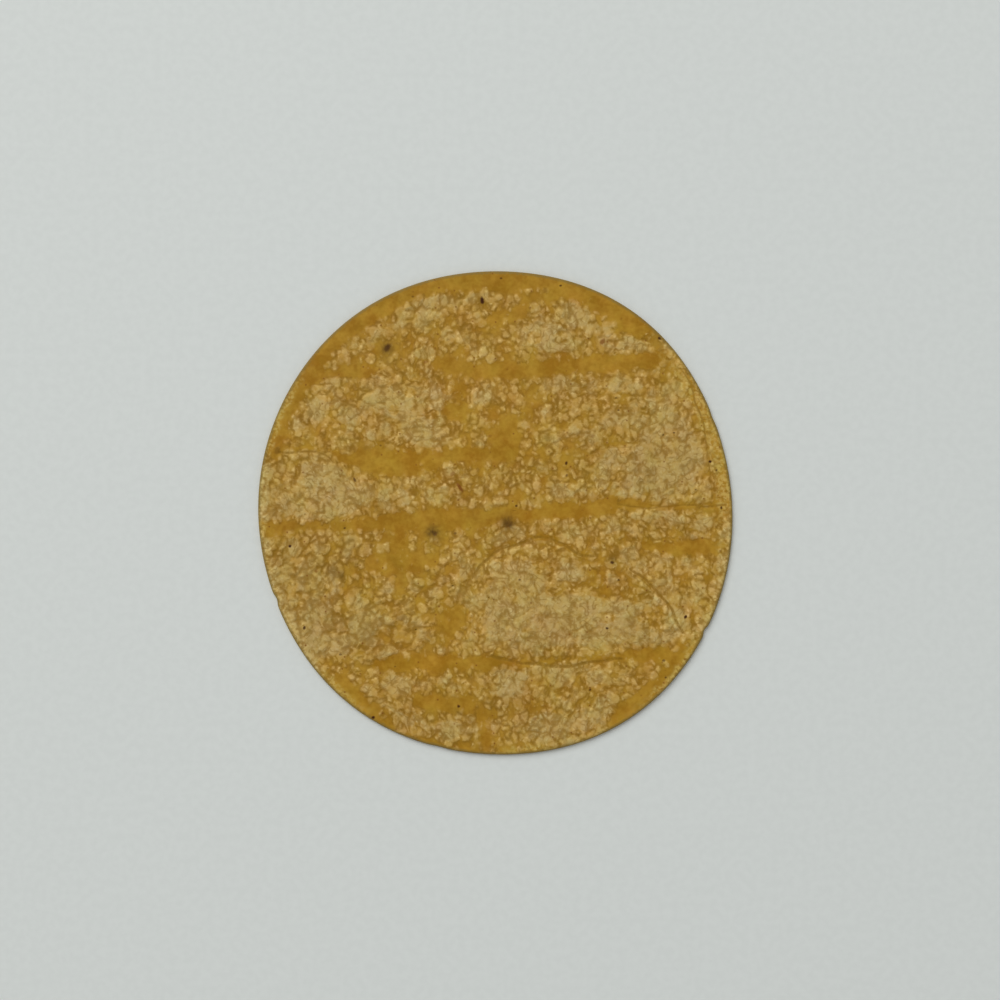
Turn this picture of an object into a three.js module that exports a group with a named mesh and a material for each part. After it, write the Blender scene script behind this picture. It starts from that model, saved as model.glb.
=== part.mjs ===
// A machine-made corn tortilla lying flat: one thin, slightly oval disc with a rounded rim.
// Its toasted face is pebbled with low blisters, crossed by smooth bands where the oven belt
// pressed the dough, and puffed up in one wide, shallow pocket.
// Units are millimetres and +Z is up. The origin is the middle of the underside.

import * as THREE from "three";

// Driving dimensions
const MEAN_RADIUS = 75;
const SHEET_THICKNESS = 1.4;
const PEBBLE_HEIGHT = 0.34;
const SMALLEST_PEBBLE = 0.45; // share of PEBBLE_HEIGHT
const POCKET_RISE = 0.75;

// The rim is rounded over, and it lifts off the table a little on the far side
const RIM_ROUNDING = 0.5;
const RIM_BELLY = 0.55; // share of the thickness at which the rim is widest
const FLAT_SHARE = 0.86; // share of the radius that lies flat on the table
const RIM_LIFT = 0.45;
const RIM_LIFT_PEAK_DEG = 95;

// Waves that turn the round outline into the slightly oval, uneven one
const OUTLINE_LOBES = [
  { waves: 2, height: 0.96, peakDeg: 102 },
  { waves: 3, height: 0.3, peakDeg: 60 },
  { waves: 4, height: 0.43, peakDeg: 48 },
  { waves: 6, height: 0.18, peakDeg: -3 },
];

// Smooth bands and bald spots: each is a rounded stripe from one end to the other
const SMOOTH_STRIPES = [
  { from: [-18, 46], to: [57, 46], halfWidth: 2.8 },
  { from: [-58, 44], to: [-42, 43], halfWidth: 2 },
  { from: [-50, 18], to: [-4, 18], halfWidth: 2.6 },
  { from: [-37, 14], to: [-20, 16], halfWidth: 3.6 },
  { from: [4, 19], to: [5, 26], halfWidth: 3.4 },
  { from: [-72, -4.5], to: [-30, -2.5], halfWidth: 2 },
  { from: [-30, -2.5], to: [-6, -1.5], halfWidth: 3.2 },
  { from: [-6, -0.5], to: [38, 2.2], halfWidth: 1.9 },
  { from: [38, 2.6], to: [72, 2.6], halfWidth: 0.9 },
  { from: [-38, -15], to: [-18, -14], halfWidth: 4 },
  { from: [46, -10], to: [70, -10], halfWidth: 2 },
  { from: [-36, -47], to: [-6, -46], halfWidth: 3.2 },
  { from: [-6, -46], to: [58, -44], halfWidth: 1.8 },
  { from: [-24, -59], to: [-8, -61], halfWidth: 3.2 },
];
const STRIPE_SOFTNESS = 1.6; // width of the step from smooth dough to pebbles
// The far half of the rim, and two short stretches of the near half, stay smooth
const SMOOTH_RIMS = [
  { middleDeg: 100, halfSpanDeg: 64, width: 6.5 },
  { middleDeg: -40, halfSpanDeg: 17, width: 6 },
  { middleDeg: -128, halfSpanDeg: 10, width: 4.5 },
];
const RIM_SPAN_SOFTNESS_DEG = 6;

// The puffed pocket is a low dome on a tilted ellipse
const POCKET_CENTRE = new THREE.Vector2(24, -28.5);
const POCKET_HALF_LENGTH = 34;
const POCKET_HALF_WIDTH = 18.5;
const POCKET_TILT_DEG = -9;

// The face is a triangle lattice of rings, ring k holding six sides of k steps
const RINGS = 40;
const SIDES = 6;
const RING_STEP = MEAN_RADIUS / RINGS;
const LATTICE_JITTER = 0.27 * RING_STEP;
const SEED = 20461;

const DOUGH_COLOUR = 0xb99150;
const DOUGH_ROUGHNESS = 0.62;

// Steps from one lattice point to its six neighbours, in the lattice's own two coordinates
const LATTICE_STEPS = [[1, 0], [0, 1], [-1, 1], [-1, 0], [0, -1], [1, -1]];

// Repeatable random numbers from 0 to 1
function seededRandom(seed) {
  let state = seed >>> 0;
  return () => {
    state = (Math.imul(state, 1664525) + 1013904223) >>> 0;
    return state / 2 ** 32;
  };
}

const random = seededRandom(SEED);
const spread = (reach) => (2 * random() - 1) * reach;

function outlineRadius(angle) {
  return OUTLINE_LOBES.reduce(
    (radius, { waves, height, peakDeg }) =>
      radius + height * Math.cos(waves * (angle - THREE.MathUtils.degToRad(peakDeg))),
    MEAN_RADIUS,
  );
}

function onOutline(angle, share) {
  const radius = share * outlineRadius(angle);
  return new THREE.Vector2(radius * Math.cos(angle), radius * Math.sin(angle));
}

// Height of the underside's edge above the table
function rimLift(angle) {
  const away = angle - THREE.MathUtils.degToRad(RIM_LIFT_PEAK_DEG);
  return RIM_LIFT * (0.5 + 0.5 * Math.cos(away));
}

// The sheet follows the table over FLAT_SHARE of the radius, then bends up to the lifted rim
function sheetLift(angle, share) {
  const bend = THREE.MathUtils.smoothstep(share, FLAT_SHARE, 1);
  return bend * rimLift(angle);
}

// 1 inside a stripe, falling to 0 over STRIPE_SOFTNESS outside it
function stripeSmoothness(point, { from, to, halfWidth }) {
  const axis = new THREE.Line3(new THREE.Vector3(...from, 0), new THREE.Vector3(...to, 0));
  const here = new THREE.Vector3(point.x, point.y, 0);
  const nearest = axis.closestPointToPoint(here, true, new THREE.Vector3());
  const outside = nearest.distanceTo(here) - halfWidth;
  return 1 - THREE.MathUtils.smoothstep(outside, 0, STRIPE_SOFTNESS);
}

// 1 on a smooth stretch of rim, falling to 0 inwards and past the stretch's two ends
function rimSmoothness(point, { middleDeg, halfSpanDeg, width }) {
  const angle = Math.atan2(point.y, point.x);
  const turn = THREE.MathUtils.radToDeg(angle) - middleDeg;
  const away = Math.abs(THREE.MathUtils.euclideanModulo(turn + 180, 360) - 180);
  const along = 1 - THREE.MathUtils.smoothstep(away, halfSpanDeg, halfSpanDeg + RIM_SPAN_SOFTNESS_DEG);
  const inwards = outlineRadius(angle) - point.length();
  return along * (1 - THREE.MathUtils.smoothstep(inwards, width, width + STRIPE_SOFTNESS));
}

// How strongly the face is pebbled at a point: 0 on smooth dough, 1 where it is fully blistered
function pebbling(point) {
  const stripes = SMOOTH_STRIPES.map((stripe) => stripeSmoothness(point, stripe));
  const rims = SMOOTH_RIMS.map((rim) => rimSmoothness(point, rim));
  return 1 - Math.max(...stripes, ...rims);
}

// Height of the pocket's dome: highest in the middle of its ellipse and level with the sheet at its edge
function pocketDome(point) {
  const local = point.clone().sub(POCKET_CENTRE);
  local.rotateAround(new THREE.Vector2(), -THREE.MathUtils.degToRad(POCKET_TILT_DEG));
  const reach = Math.hypot(local.x / POCKET_HALF_LENGTH, local.y / POCKET_HALF_WIDTH);
  return reach < 1 ? POCKET_RISE * (1 - reach ** 4) : 0;
}

// One point of the toasted face. Every third lattice point is the crown of a pebble, and the
// others are the corners of the cracks around it.
function facePoint(ring, side, step) {
  const share = ring / RINGS;
  const angle = ring === 0 ? 0 : (2 * Math.PI * (side + step / ring)) / SIDES;
  const inset = 1 - RIM_ROUNDING / MEAN_RADIUS;
  const point = onOutline(angle, share * inset);
  if (ring < RINGS) point.add(new THREE.Vector2(spread(LATTICE_JITTER), spread(LATTICE_JITTER)));

  const start = LATTICE_STEPS[side];
  const onward = LATTICE_STEPS[(side + 2) % SIDES];
  const [column, row] = [0, 1].map((axis) => ring * start[axis] + step * onward[axis]);
  const isCrown = THREE.MathUtils.euclideanModulo(column - row, 3) === 0;
  const crown = isCrown ? PEBBLE_HEIGHT * (SMALLEST_PEBBLE + (1 - SMALLEST_PEBBLE) * random()) : 0;
  const relief = ring < RINGS ? crown * pebbling(point) : 0;
  const height = SHEET_THICKNESS + sheetLift(angle, share) + relief + pocketDome(point);
  return new THREE.Vector3(point.x, point.y, height);
}

// One closed ring of points just outside or under the face
function rimPoints(inset, height) {
  return Array.from({ length: SIDES * RINGS }, (_, i) => {
    const angle = (2 * Math.PI * i) / (SIDES * RINGS);
    const point = onOutline(angle, 1 - inset / MEAN_RADIUS);
    return new THREE.Vector3(point.x, point.y, height(angle));
  });
}

// Triangles between two closed rings of the same count, the first one above or outside the second
function stripTriangles(upper, lower, count) {
  return Array.from({ length: count }, (_, i) => {
    const next = (i + 1) % count;
    return [upper + i, lower + i, lower + next, upper + i, lower + next, upper + next];
  }).flat();
}

function tortillaGeometry() {
  const points = [];
  const triangles = [];

  // The face, ring by ring. Ring k starts after the 1 + 6 + 12 + ... points inside it.
  const ringStart = (ring) => (ring === 0 ? 0 : 1 + (SIDES * ring * (ring - 1)) / 2);
  const onRing = (ring, place) => ringStart(ring) + (ring === 0 ? 0 : place % (SIDES * ring));
  points.push(facePoint(0, 0, 0));
  for (let ring = 1; ring <= RINGS; ring++) {
    for (let side = 0; side < SIDES; side++) {
      for (let step = 0; step < ring; step++) {
        points.push(facePoint(ring, side, step));
        const outer = side * ring + step;
        const inner = side * (ring - 1) + step;
        triangles.push(onRing(ring - 1, inner), onRing(ring, outer), onRing(ring, outer + 1));
        if (step === ring - 1) continue;
        triangles.push(onRing(ring - 1, inner), onRing(ring, outer + 1), onRing(ring - 1, inner + 1));
      }
    }
  }

  // The rounded rim, then the underside: a bent-up border round one flat middle
  const count = SIDES * RINGS;
  const rings = [
    rimPoints(0, (angle) => rimLift(angle) + RIM_BELLY * SHEET_THICKNESS),
    rimPoints(RIM_ROUNDING, rimLift),
    rimPoints((1 - FLAT_SHARE) * MEAN_RADIUS, () => 0),
  ];
  let upper = ringStart(RINGS);
  for (const ring of rings) {
    const lower = points.length;
    points.push(...ring);
    triangles.push(...stripTriangles(upper, lower, count));
    upper = lower;
  }
  const middle = points.length;
  points.push(new THREE.Vector3(0, 0, 0));
  for (let i = 0; i < count; i++) triangles.push(middle, upper + ((i + 1) % count), upper + i);

  const geometry = new THREE.BufferGeometry().setFromPoints(points);
  geometry.setIndex(triangles);
  geometry.computeVertexNormals();
  return geometry;
}

const dough = new THREE.MeshStandardMaterial({
  color: DOUGH_COLOUR,
  roughness: DOUGH_ROUGHNESS,
  metalness: 0,
});
const tortilla = new THREE.Mesh(tortillaGeometry(), dough);
tortilla.name = "tortilla";

const part = new THREE.Group();
part.add(tortilla);

export default part;
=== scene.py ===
"""Corn tortilla: models one toasted corn tortilla and the table, light and camera that picture it.

Laid out as a Blender add-on and run as a script. The tortilla is one closed mesh. Both of its faces are
height maps over a disc, worked out as whole numpy arrays. The layout lists are in millimetres, seen from
above with +X to the right and +Y away from the viewer, and the meshes are in metres.
"""

from functools import partial, reduce
from typing import NamedTuple

import bpy
import numpy as np
from bpy.props import FloatProperty, FloatVectorProperty, IntProperty, PointerProperty
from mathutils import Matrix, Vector


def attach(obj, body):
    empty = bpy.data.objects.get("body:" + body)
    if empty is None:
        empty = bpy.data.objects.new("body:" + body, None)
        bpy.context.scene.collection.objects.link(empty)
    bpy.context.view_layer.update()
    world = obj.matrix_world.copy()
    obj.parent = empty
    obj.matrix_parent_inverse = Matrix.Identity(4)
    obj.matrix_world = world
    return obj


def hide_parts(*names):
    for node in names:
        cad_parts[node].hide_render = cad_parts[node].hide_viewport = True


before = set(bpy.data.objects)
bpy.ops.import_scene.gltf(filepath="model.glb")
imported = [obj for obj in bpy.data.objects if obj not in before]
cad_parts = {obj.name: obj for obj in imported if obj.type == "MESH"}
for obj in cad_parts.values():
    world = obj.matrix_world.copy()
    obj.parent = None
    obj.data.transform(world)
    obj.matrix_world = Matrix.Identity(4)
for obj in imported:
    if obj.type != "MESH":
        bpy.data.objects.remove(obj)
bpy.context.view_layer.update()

bl_info = {
    "name": "Corn Tortilla",
    "version": (1, 0, 0),
    "blender": (4, 5, 0),
    "location": "3D View > Sidebar > Tortilla",
    "description": "Models a toasted corn tortilla on a pale table",
    "category": "Add Mesh",
}

MM = 0.001

# Waves that turn the round outline into the slightly oval one: count, height, direction of a peak
OUTLINE_LOBES = ((2, 0.96, 102), (3, 0.3, 60), (4, 0.43, 48), (6, 0.18, -3))
# Small nicks in the edge: direction, half span in degrees, depth
EDGE_NICKS = ((-29.4, 1.1, 0.55), (-158.6, 1.2, 0.5), (24, 1.6, 0.2), (-104, 2, 0.2))
# The puffed pocket's ellipse: middle, half length, half width, tilt in degrees
POCKET = (24, -28.5, 34, 18.5, -9)
# Share of the radius that lies flat on the table, and the direction in which the rest lifts most
FLAT_SHARE = 0.86
LIFT_DIRECTION = 95.0
# How far in from the rounded edge the relief reaches its full height
SETTLE_WIDTH = 1.4
# Depth of the underside's hollows as a share of the blisters' height
HOLLOW_SHARE = 0.5

# Smooth bands where the oven belt pressed the dough: strength, then stations of x, y and half width
BANDS = (
    (1.5, (-17, 46.4, 2.3), (-5, 44.3, 1.7), (12, 45.2, 2.3), (30, 46.8, 2.3), (46, 47.2, 2.5),
     (52, 48.4, 1.4)),
    (1.2, (-57, 43.4, 1.5), (-48, 44.2, 1.4), (-40, 44.6, 2.3)),
    (1.6, (-50, 18, 1), (-38, 16.6, 3.4), (-31, 15.2, 4), (-23, 15.8, 3.4), (-16, 18.5, 1.9),
     (2, 18.4, 2)),
    (1.6, (3.5, 20, 3.2), (4.5, 27, 3)),
    (1, (-5, 12, 0.8), (-5, 18, 1.6)),
    (1.6, (-73, -4.8, 1.6), (-64, -5, 1.6), (-52, -4.1, 1), (-30, -2.7, 2.3), (-6.5, -1.7, 2.9),
     (8, -0.1, 1.7)),
    (1.6, (8, -0.1, 1.7), (26, 0.9, 2.4), (36, 2.7, 2.3), (45, 2.8, 0.6)),
    (0.8, (45, 2.3, 0.6), (54, 1.6, 0.9), (61, 2.2, 0.3), (67, 2.4, 0.2)),
    (0.9, (-67, 20.6, 0.5), (-53, 19.7, 0.6), (-48, 17.6, 0.8)),
    (0.7, (34.2, 3.6, 0.4), (34.8, 7.5, 0.5), (36.4, 10.8, 0.4)),
    (0.7, (27, 19, 0.4), (31, 20.6, 0.5), (37, 21.6, 0.5)),
    (0.25, (-9.8, -22, 0.5), (-7, -16.4, 0.6), (-2.8, -13.2, 0.6), (4.2, -9.3, 0.6), (13.6, -7.3, 0.5)),
    (0.8, (13.6, -7.3, 0.5), (20.4, -8.4, 0.5), (26.4, -12.2, 0.5)),
    (1, (47, -9.8, 1.2), (56, -11.4, 2.2), (71, -9.8, 1.8)),
    (1.3, (-37, -47, 1.6), (-26, -46.2, 2.6), (-8, -46.6, 1.6), (10, -46.8, 1)),
    (0.8, (10, -46, 0.8), (40, -44.2, 1)),
    (0.95, (38, -44.4, 1.1), (46, -43.7, 2.1), (53, -43.5, 2.3)),
    (1.1, (-25, -58.6, 1.2), (-9, -60, 2.2)),
    (0.8, (-4.6, -62, 1.2), (-3.4, -71, 1.8)),
    (1.1, (-3, 59.9, 1.9), (8, 62.9, 1.8)),
)
# Spots where the blisters crowd: x, y, half length, half width, tilt in degrees, rise of the cover
CROWDED_SPOTS = (
    (-57, 4.5, 15.5, 6.6, -4, 0.5), (-56, 11.5, 11, 4, -8, 0.36), (-32, 4.4, 5.6, 3.6, 0, 0.42),
    (-40.5, 6, 3.2, 4.6, 0, 0.4), (-16.2, 5.6, 6.4, 3.2, 0, 0.38), (54, 17.5, 11, 12.5, 0, 0.5),
    (38, 11.5, 8.5, 6.5, 0, 0.36), (54, 34, 8.4, 6, -36, 0.38), (36, 17.5, 3, 3.6, 0, 0.2),
    (37.5, 40, 10, 2.4, 0, 0.4), (49, 43.6, 3, 1.8, 0, 0.34), (48, 6, 4.6, 3, 0, 0.44),
    (64, 6.6, 3.5, 4.2, 0, 0.52), (-36.8, 26.2, 4, 4, 0, 0.38), (-7, 61, 2.6, 2.6, 0, 0.34),
    (21, 7, 5, 2.6, 0, 0.35), (-28.5, 34.5, 12, 6, 0, 0.45), (-24, 26, 6.5, 5, 0, 0.36),
    (-55.5, 32.2, 4.2, 3.6, 0, 0.3), (-47, 28.6, 3.4, 6, -35, 0.32), (-5, 35.8, 2.8, 2.4, 0, 0.36),
    (-22, 63, 9, 4.6, 20, 0.36), (25, 62, 4.6, 4.2, 0, 0.36), (14, 54.8, 9.5, 4.6, 0, 0.36),
    (38, 53.2, 8.5, 2.4, -6, 0.38), (-22.5, 50, 3.4, 2.6, 0, 0.42), (-15, 55.4, 2.6, 2, 0, 0.42),
    (-5, 50.8, 3.6, 2.3, 0, 0.36), (22, -33.5, 25, 8.6, 3, 0.55), (2.6, -27.5, 6.4, 8, 0, 0.46),
    (24, -18, 4, 3.4, 0, 0.36), (36, -20.8, 2.4, 2.2, 0, 0.5), (8, -18.6, 5, 4.2, 0, 0.34),
    (56, -34, 3.6, 5, -25, 0.3), (60, -24.6, 5.2, 4.4, 20, 0.34), (52, -24, 4.2, 4.4, 0, 0.34),
    (48.5, -38.8, 7, 3.2, 4, 0.42), (48, -15.5, 4, 3, 0, 0.24), (62, -16, 5, 2.8, 0, 0.34),
    (10.5, -24.5, 5, 3.6, 0, 0.38), (62, -2.6, 7, 2.7, 0, 0.36), (26, -5.5, 3.6, 2.4, 0, 0.2),
    (4.8, -6.5, 4.8, 2.6, 10, 0.46), (-8, -18.4, 3.6, 2.8, 0, 0.45), (-25, -22.4, 2.6, 2.4, 0, 0.42),
    (-67.4, -0.4, 3.4, 2, 0, 0.36), (44, 29, 3, 2.6, 0, 0.38), (-62, -25, 3, 3, 0, 0.28),
    (-50, -34.4, 3.4, 3, 0, 0.38), (14, 14.2, 2.4, 2, 0, 0.4), (39.5, 5.4, 3, 2, 0, 0.36),
    (45, -1, 3, 1.4, 0, 0.4), (34, -38.4, 8.4, 2.6, 0, 0.38), (-71, 1, 2, 3, 0, 0.3),
    (-38, -40.2, 3, 1.8, 0, 0.34), (-43.4, -39, 2.4, 1.8, 0, 0.38), (-29, -33, 2, 1.8, 0, 0.36),
    (19, 29, 2, 1.8, 0, 0.34), (41.5, 33, 2.6, 2, 0, 0.3), (43.4, 38.7, 3.4, 1.8, 0, 0.34),
    (30, 38, 2.2, 1.6, 0, 0.3), (-36, 56, 2.4, 1.8, 0, 0.34), (-7.6, 66.8, 2.2, 1.8, 0, 0.36),
    (-9.4, 10.8, 2, 1.6, 0, 0.36), (9.4, 8.4, 1.8, 1.6, 0, 0.36), (59, -7.5, 2.6, 1.4, 0, 0.34),
    (-14, -27.4, 1.8, 1.8, 0, 0.36), (49, -28, 2, 1.8, 0, 0.32), (-8.4, -64, 1.8, 1.6, 0, 0.4),
    (0, 48.6, 2, 1.4, 0, 0.34), (-3, -57, 2.6, 2, 0, 0.38), (30, 57, 3, 2, 0, 0.36),
    (-8, 53.8, 2.4, 1.8, 0, 0.38), (-58, -21, 4.4, 7.5, 15, 0.32), (-63.5, -11, 4, 3.2, 0, 0.28),
    (-40.5, -34.8, 6.4, 4, 6, 0.5), (-34, -23, 3, 2.4, 0, 0.4), (-50.6, -41, 5.4, 4, -20, 0.26),
    (-60, -33, 5, 8, 25, 0.34), (-49, -27, 4.4, 3.6, 0, 0.26), (-66, -17, 3, 5, 8, 0.3),
    (-31.5, -53.6, 5, 3.4, -8, 0.46), (2.4, -52.8, 7.4, 4.4, 0, 0.44), (-14, -53, 4.2, 2.6, 0, 0.26),
    (25, -49.8, 5, 2, 4, 0.3), (34, -51, 6.5, 3.2, 10, 0.32), (36, -58.5, 5.4, 4, 35, 0.28),
    (-31.6, -63.6, 5.6, 2.5, -22, 0.5), (-14, -67.4, 7.5, 2.6, -6, 0.36), (16, -66, 6, 4.2, 0, 0.42),
    (27.5, -64.5, 5, 3.6, 20, 0.42), (11, -40, 8, 3.4, 0, 0.34), (24, 51.5, 5, 2.6, 0, 0.28),
    (19, -13.6, 3, 2.4, 0, 0.34), (-39, 33, 3.6, 4, 0, 0.26), (-69, 13, 3, 4, 0, 0.34),
    (42, 9, 3.6, 3.2, 0, 0.24), (46, 51, 3.8, 2.6, -40, 0.44),
)
# Bald spots: x, y, half length, half width, tilt in degrees, drop of the cover
BALD_SPOTS = (
    (30, -9, 2.2, 1.6, 0, 0.42), (-27, 37.4, 2, 1.6, 0, 0.4), (-32, 32, 2, 1.6, 0, 0.4),
    (-13.6, -17, 2.4, 3.6, 0, 0.5), (8.4, -53.4, 1.8, 1.6, 0, 0.45), (-24, -66.8, 1.8, 1.6, 0, 0.45),
    (12, 54.8, 2.6, 2.4, 0, 0.5), (-25, 43.8, 2.6, 1.3, 0, 0.5), (-34.6, 50.8, 4.6, 2.2, 0, 0.75),
    (12, 36, 4.4, 4.4, 0, 0.45), (38, -8.4, 5.2, 3, 0, 0.55), (25, 18, 6, 6.5, 0, 0.42),
    (-9.2, 16.1, 8, 2.7, 0, 0.6), (-30, -15.5, 9, 3.6, 0, 0.6), (10, 20, 4, 3.4, 0, 0.5),
    (-7, -6, 4, 2.6, 0, 0.45), (-45, -21.5, 4.2, 4.4, 0, 0.42), (-53, -22.5, 2.6, 2.6, 0, 0.4),
    (-25, 55, 3, 2.4, 0, 0.42), (-17, 43, 3.6, 3.6, 0, 0.55), (-43, 47.4, 3, 1.8, 20, 0.7),
    (33.6, -32.4, 3.2, 2.2, 0, 0.6), (42, -26, 3, 2.4, 0, 0.34), (31, -14, 3.2, 2.6, 0, 0.48),
    (-20.4, -20.6, 2.8, 3, 0, 0.42), (-31.6, -8.5, 5.4, 3, 0, 0.75), (-15, 39.5, 2.6, 2.6, 0, 0.48),
    (21, 11, 3.2, 2.2, 0, 0.42), (26, 42, 3.4, 1.8, 0, 0.45), (34, 61, 3, 3, 0, 0.9),
    (33, 6.2, 1.8, 1.8, 0, 0.42), (-23, -50.4, 5.4, 2.2, 0, 0.48), (5.4, 5.2, 3.8, 2.8, 0, 0.42),
    (-15, 60, 3, 2.5, 0, 0.34), (9, 68.6, 5, 1.8, -6, 0.6), (16.5, 67, 3, 2.4, 0, 0.6),
    (20, 48.8, 3.4, 1.5, 0, 0.6), (20, 54.6, 2.6, 2, 0, 0.6), (-11, 49.6, 2.6, 2.8, 0, 0.6),
    (-2, 57.6, 3.2, 2, 0, 0.5), (-28, 65.4, 3, 1.6, 25, 0.6), (-41, 54.4, 2, 1.6, 40, 0.45),
    (-53, 36.4, 2.6, 2, 0, 0.6), (-49, 26, 2.4, 2.4, 0, 0.4), (-20.5, 31, 2.6, 2, 0, 0.48),
    (7, 18, 2.8, 2.4, 0, 0.55), (1, 9, 3, 2.4, 0, 0.52), (-2, 15, 3, 2, 0, 0.52),
    (40, 23, 3, 2.4, 0, 0.42), (16, 20, 3, 2.4, 0, 0.44), (26, 5, 2.6, 1.6, 0, 0.45),
    (-39, -26, 2.6, 2.2, 0, 0.44), (16, 63, 2.6, 2.2, 0, 0.44), (-33, 61, 2.4, 2, 0, 0.45),
    (-6, -10.4, 2.6, 2, 0, 0.44), (-25, 52.4, 2, 1.8, 0, 0.4), (24, 8.6, 2.6, 1.8, 0, 0.5),
    (-21, -42, 3.4, 2.4, 0, 0.6), (-24.2, -28.6, 3, 2.4, 0, 0.5), (-9.6, -36, 1.8, 3.6, 0, 0.6),
    (-11, -51.8, 3, 2, 0, 0.5), (21, -56, 3.2, 2, 0, 0.48), (32.6, -55, 3, 2, 20, 0.5),
    (-2, -62.4, 2.8, 2.4, 0, 0.6), (46, -32, 2.6, 2.2, 0, 0.42), (2, -13.6, 2.6, 1.6, 20, 0.48),
    (55, 45.4, 3, 2, -40, 0.42), (-12.4, 32, 5, 3.6, 0, 0.85), (-10.5, 38, 2, 3, 0, 0.37),
    (8.5, 31.4, 3.2, 3, 0, 0.58), (9, 24.4, 2.6, 2.2, 0, 0.5), (10, 65.4, 3, 2, 0, 0.6),
    (-56, 40.6, 2.4, 1.6, 0, 0.45), (-35, 44, 2.6, 1.6, 0, 0.44), (-3, 42, 2.6, 1.6, 0, 0.44),
    (-1, 28, 3, 6, 0, 0.34), (23, 16, 4.6, 4, 0, 0.5), (7, 13.4, 4, 4.6, 0, 0.26),
    (14.5, 10.2, 2.2, 2, 0, 0.65), (-2, 10, 3.4, 6, 0, 0.28), (36, 24, 4.2, 3.2, 0, 0.21),
    (28, 29, 4.4, 3.2, 0, 0.22), (-27, -10, 12, 6, 0, 0.31), (-36.6, -15.6, 4.2, 3.8, 0, 0.95),
    (-20, -15, 2.6, 3.2, 0, 0.8), (-17, -33, 6.6, 9, 0, 0.45), (-11.2, -32.4, 3, 4, 0, 0.85),
    (-30, -41, 8, 3, 0, 0.25), (13, -16, 2.3, 3.2, 0, 0.55), (31, -22, 4, 5, 0, 0.4),
    (37, -26.5, 4.6, 1.8, 10, 0.34), (17, -10, 6, 2.2, 0, 0.21), (12, -60, 4.2, 2.5, 0, 0.31),
    (27.2, -59.6, 4, 2.8, 0, 0.42), (66, -20.5, 2.6, 2.2, 0, 0.28), (-66, 24, 3, 6, -15, 0.28),
)
# Where the blisters are large cobbles: x, y, half length, half width, tilt in degrees
COBBLES = (-38, -27, 29, 21, -12)
# Stretches of the edge that stay bare (below 0) or flake (above 0): middle direction and half span in
# degrees, width, change of the cover
EDGE_STRETCHES = (
    (108, 55, 5, -1.4), (93, 3, 6.4, -1), (60, 9, 6, -1), (-52, 6, 4.8, -0.9), (-126, 5, 5.2, -1.2),
    (-92, 12, 1.8, -0.6), (14, 8, 4.2, -0.6), (27, 8, 4.4, -0.62), (-12, 10, 2.8, 0.3), (-46, 8, 5.4, -1),
    (188, 26, 3.2, 0.42), (222, 10, 2.2, 0.3),
)
# Pale golden stretches of the edge: middle direction and half span in degrees, width
GOLDEN_EDGES = (
    (17, 28, 5), (-20, 22, 2.6), (-41, 14, 2.4), (190, 47, 2.6), (-78, 14, 2.4),
)
# Broad places toasted lighter (above 0) or darker (below 0): x, y, half length, half width, tilt in
# degrees, share of the colour
TOASTING = (
    (-10, 34, 16, 13, 0, 0.05), (46, 14, 20, 11, 0, -0.055), (24, -7, 12, 5, 0, 0.05),
    (-54, -37, 9, 9, 0, -0.06), (-50, -13, 12, 7, 0, -0.04), (34, -43.5, 18, 4, 0, 0.06),
    (-22, -46.5, 12, 3.6, 0, 0.09), (-28, 16, 10, 4.6, 0, 0.06), (-60, -4.6, 11, 2.4, 0, -0.06),
    (24, 1.5, 14, 3, 4, 0.05), (2, -60, 24, 13, 0, -0.04), (-20, -66, 8, 5, 0, -0.05),
    (0, 54, 8, 6, 0, 0.03), (-2, -1.2, 8, 2.8, 0, -0.05),
)
# Creases pressed into the face (depth above 0) and low folds (below 0): depth, half width, then the
# points that the curve goes through. The creases are darkened with painted shade and the folds paled with
# a painted highlight.
CREASES = (
    (0.17, 0.5, (-8.8, -21.4), (-6, -17), (-2, -14), (4.8, -10.1), (13.6, -8.1), (19.8, -9.3),
     (25.9, -13.3), (31, -13.7)),
    (-0.1, 0.6, (-4.8, -18), (-1, -15.2), (5.4, -11.4), (13.6, -9.5), (19.2, -10.7), (25.2, -14.7)),
    (0.08, 0.45, (-5.8, -43), (-8.8, -36.8), (-9.6, -27.6), (-8.8, -21.4)),
    (0.18, 0.5, (41.9, -17.1), (49, -23.8), (54.8, -30.5), (58.1, -37.2)),
    (-0.14, 0.6, (40.8, -18.1), (48, -24.8), (53.8, -31.3), (57, -37.6)),
    (0.17, 0.5, (-2, -44.2), (7.3, -46), (17.6, -47.3), (28, -46.8), (39.3, -45.7)),
    (0.07, 0.4, (30, -31.6), (33.6, -31.1), (37.3, -33.1), (43, -40.9)),
    (0.12, 0.4, (38, 2.4), (50, 2), (60, 2.5), (72, 2.3)),
    (0.12, 0.46, (58, 44), (61.4, 37), (64, 28), (65.6, 19.3), (66.2, 10), (66.8, 4.4)),
    (-0.08, 0.5, (59.4, 44), (62.6, 37), (65.2, 28), (66.8, 19.3), (67.4, 10), (68, 5)),
    (0.08, 0.42, (35.2, 3.8), (35.4, 6), (36.5, 9.5), (38.6, 11.6)),
    (0.08, 0.42, (27.5, 17.8), (31, 19.2), (36, 20.4), (44, 20.2)),
    (0.14, 0.46, (-67.3, 19.3), (-60, 19.4), (-53.4, 18.4), (-51, 16.4)),
)
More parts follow.
